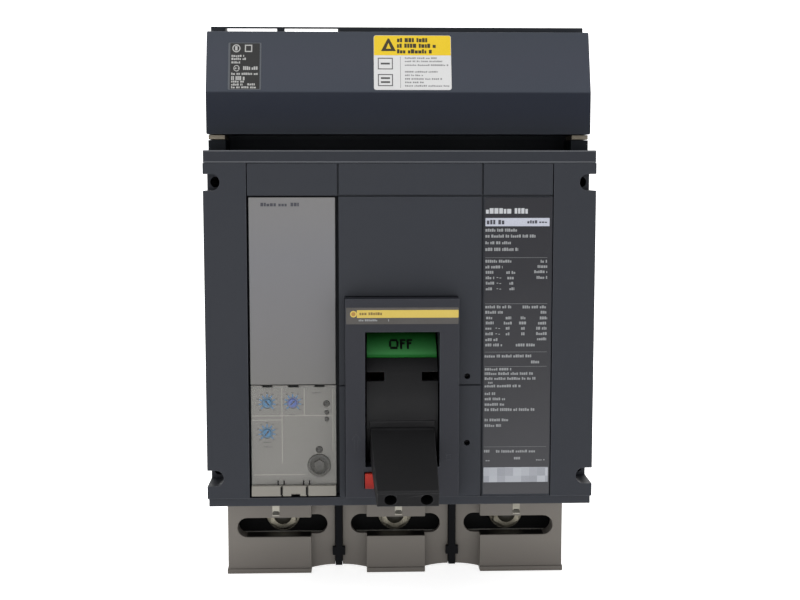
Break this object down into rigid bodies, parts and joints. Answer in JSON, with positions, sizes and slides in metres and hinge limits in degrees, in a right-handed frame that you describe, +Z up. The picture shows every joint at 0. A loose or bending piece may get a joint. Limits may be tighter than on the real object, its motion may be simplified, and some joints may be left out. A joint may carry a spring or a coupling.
{
  "type": "moulded case circuit breaker",
  "caption": "Three-pole moulded case circuit breaker with toggle handle, electronic trip unit, plug-on busbar jaws at the top and shrouded cable lugs below.",
  "frame": {"origin": "centre of the four-hole fixing pattern, on the flat back face of the case", "axes": "+X to the right seen from the front, +Z up towards the line end, the front of the breaker faces -Y"},
  "size_m": [0.21, 0.2052, 0.3264],
  "materials": {
    "case_plastic": "moulded, fine matt texture",
    "jaw_plastic": "moulded, fine matt texture",
    "bracket_metal": "beige zinc-passivated strip",
    "handle_black": "smooth moulded, low sheen",
    "flag_green": "coloured moulding, semi-gloss",
    "flag_red": "coloured moulding, semi-gloss",
    "button_red": "coloured moulding, semi-gloss",
    "bright_steel": "zinc plated",
    "mechanism_steel": "stamped, oiled",
    "crossbar_brown": "glass-filled thermoset",
    "trip_grey": "fine matt texture",
    "dial_grey": "fine matt texture",
    "strip_beige": "fine matt texture",
    "lamp_grey": "semi-matt",
    "clear_door": "clear polycarbonate",
    "dial_blue": "semi-gloss",
    "dial_violet": "semi-gloss",
    "board_green": "solder resist",
    "arc_plate": "dull plated steel on fibre walls",
    "copper": "silver-plated copper, lightly tarnished",
    "transformer_black": "potted moulding",
    "shroud_grey": "moulded, satin",
    "lug_aluminium": "tin plated"
  },
  "bodies": {
    "root": {"base_case": "case_plastic", "front_cover": "case_plastic", "accessory_cover": "case_plastic", "handle_bezel": "case_plastic", "handle_pin": "mechanism_steel", "mechanism_frame": "mechanism_steel", "flux_shifter": "mechanism_steel", "trip_unit_housing": "trip_grey", "trip_circuit_board": "board_green", "trip_unit_cover": "trip_grey", "dial_panel": "dial_grey", "status_lamps": "lamp_grey", "test_socket": "lamp_grey", "trip_unit_strip": "strip_beige", "jaw_housing": "jaw_plastic", "jaw_cover": "jaw_plastic", "jaw_bracket_left": "bracket_metal", "jaw_bracket_right": "bracket_metal", "arc_chute_left": "arc_plate", "line_conductor_left": "copper", "jaw_left": "copper", "load_conductor_left": "copper", "current_transformer_left": "transformer_black", "terminal_shroud_left": "shroud_grey", "lug_left": "lug_aluminium", "lug_bolt_left": "bright_steel", "arc_chute_middle": "arc_plate", "line_conductor_middle": "copper", "jaw_middle": "copper", "load_conductor_middle": "copper", "current_transformer_middle": "transformer_black", "terminal_shroud_middle": "shroud_grey", "lug_middle": "lug_aluminium", "lug_bolt_middle": "bright_steel", "arc_chute_right": "arc_plate", "line_conductor_right": "copper", "jaw_right": "copper", "load_conductor_right": "copper", "current_transformer_right": "transformer_black", "terminal_shroud_right": "shroud_grey", "lug_right": "lug_aluminium", "lug_bolt_right": "bright_steel"},
    "handle": {"handle": "handle_black", "off_flag": "flag_green", "on_flag": "flag_red", "toggle_spring": "bright_steel"},
    "contacts": {"crossbar": "crossbar_brown", "contact_arm_left": "copper", "contact_arm_middle": "copper", "contact_arm_right": "copper"},
    "cradle": {"cradle": "mechanism_steel"},
    "upper_link": {"upper_link": "mechanism_steel"},
    "lower_link": {"lower_link": "mechanism_steel"},
    "trip_button": {"trip_button": "button_red"},
    "trip_bar": {"trip_bar": "crossbar_brown"},
    "flux_plunger": {"flux_plunger": "bright_steel"},
    "dial_cover": {"dial_cover": "clear_door"},
    "dial_1": {"dial_1": "dial_blue"},
    "dial_2": {"dial_2": "dial_violet"},
    "dial_3": {"dial_3": "dial_blue"}
  },
  "joints": [
    {"name": "handle_swing", "type": "hinge", "parent": "root", "child": "handle", "pos_m": [0.0007, -0.115, -0.04], "axis": [-1, 0, 0], "range_deg": [0, 46]},
    {"name": "contacts_swing", "type": "hinge", "parent": "root", "child": "contacts", "pos_m": [0, -0.05, -0.035], "axis": [-1, 0, 0], "range_deg": [0, 28.05]},
    {"name": "cradle_release", "type": "hinge", "parent": "root", "child": "cradle", "pos_m": [0.0007, -0.078, -0.062], "axis": [1, 0, 0], "range_deg": [0, 8]},
    {"name": "upper_link_swing", "type": "hinge", "parent": "cradle", "child": "upper_link", "pos_m": [0.0007, -0.095, -0.024], "axis": [-1, 0, 0], "range_deg": [0, 13]},
    {"name": "lower_link_swing", "type": "hinge", "parent": "contacts", "child": "lower_link", "pos_m": [0.0007, -0.057, -0.02288], "axis": [1, 0, 0], "range_deg": [0, 47.1]},
    {"name": "trip_button_push", "type": "slide", "parent": "root", "child": "trip_button", "axis": [0, 1, 0], "range_m": [0, 0.003]},
    {"name": "trip_bar_turn", "type": "hinge", "parent": "root", "child": "trip_bar", "pos_m": [0, -0.086, -0.077], "axis": [1, 0, 0], "range_deg": [0, 26]},
    {"name": "flux_plunger_throw", "type": "slide", "parent": "root", "child": "flux_plunger", "axis": [0, 1, 0], "range_m": [0, 0.003]},
    {"name": "dial_cover_open", "type": "hinge", "parent": "root", "child": "dial_cover", "pos_m": [-0.058, -0.1476, -0.029], "axis": [-1, 0, 0], "range_deg": [0, 100]},
    {"name": "dial_1_turn", "type": "hinge", "parent": "root", "child": "dial_1", "pos_m": [-0.0723, -0.141, -0.0383], "axis": [0, -1, 0], "range_deg": [-135, 135]},
    {"name": "dial_2_turn", "type": "hinge", "parent": "root", "child": "dial_2", "pos_m": [-0.0585, -0.141, -0.0383], "axis": [0, -1, 0], "range_deg": [-135, 135]},
    {"name": "dial_3_turn", "type": "hinge", "parent": "root", "child": "dial_3", "pos_m": [-0.0725, -0.141, -0.0548], "axis": [0, -1, 0], "range_deg": [-135, 135]}
  ],
  "couplings": [
    {"joint": "contacts_swing", "follows": "handle_swing", "ratio": 0.6087},
    {"joint": "upper_link_swing", "follows": "handle_swing", "ratio": 0.28141},
    {"joint": "lower_link_swing", "follows": "handle_swing", "ratio": 1.0224}
  ]
}
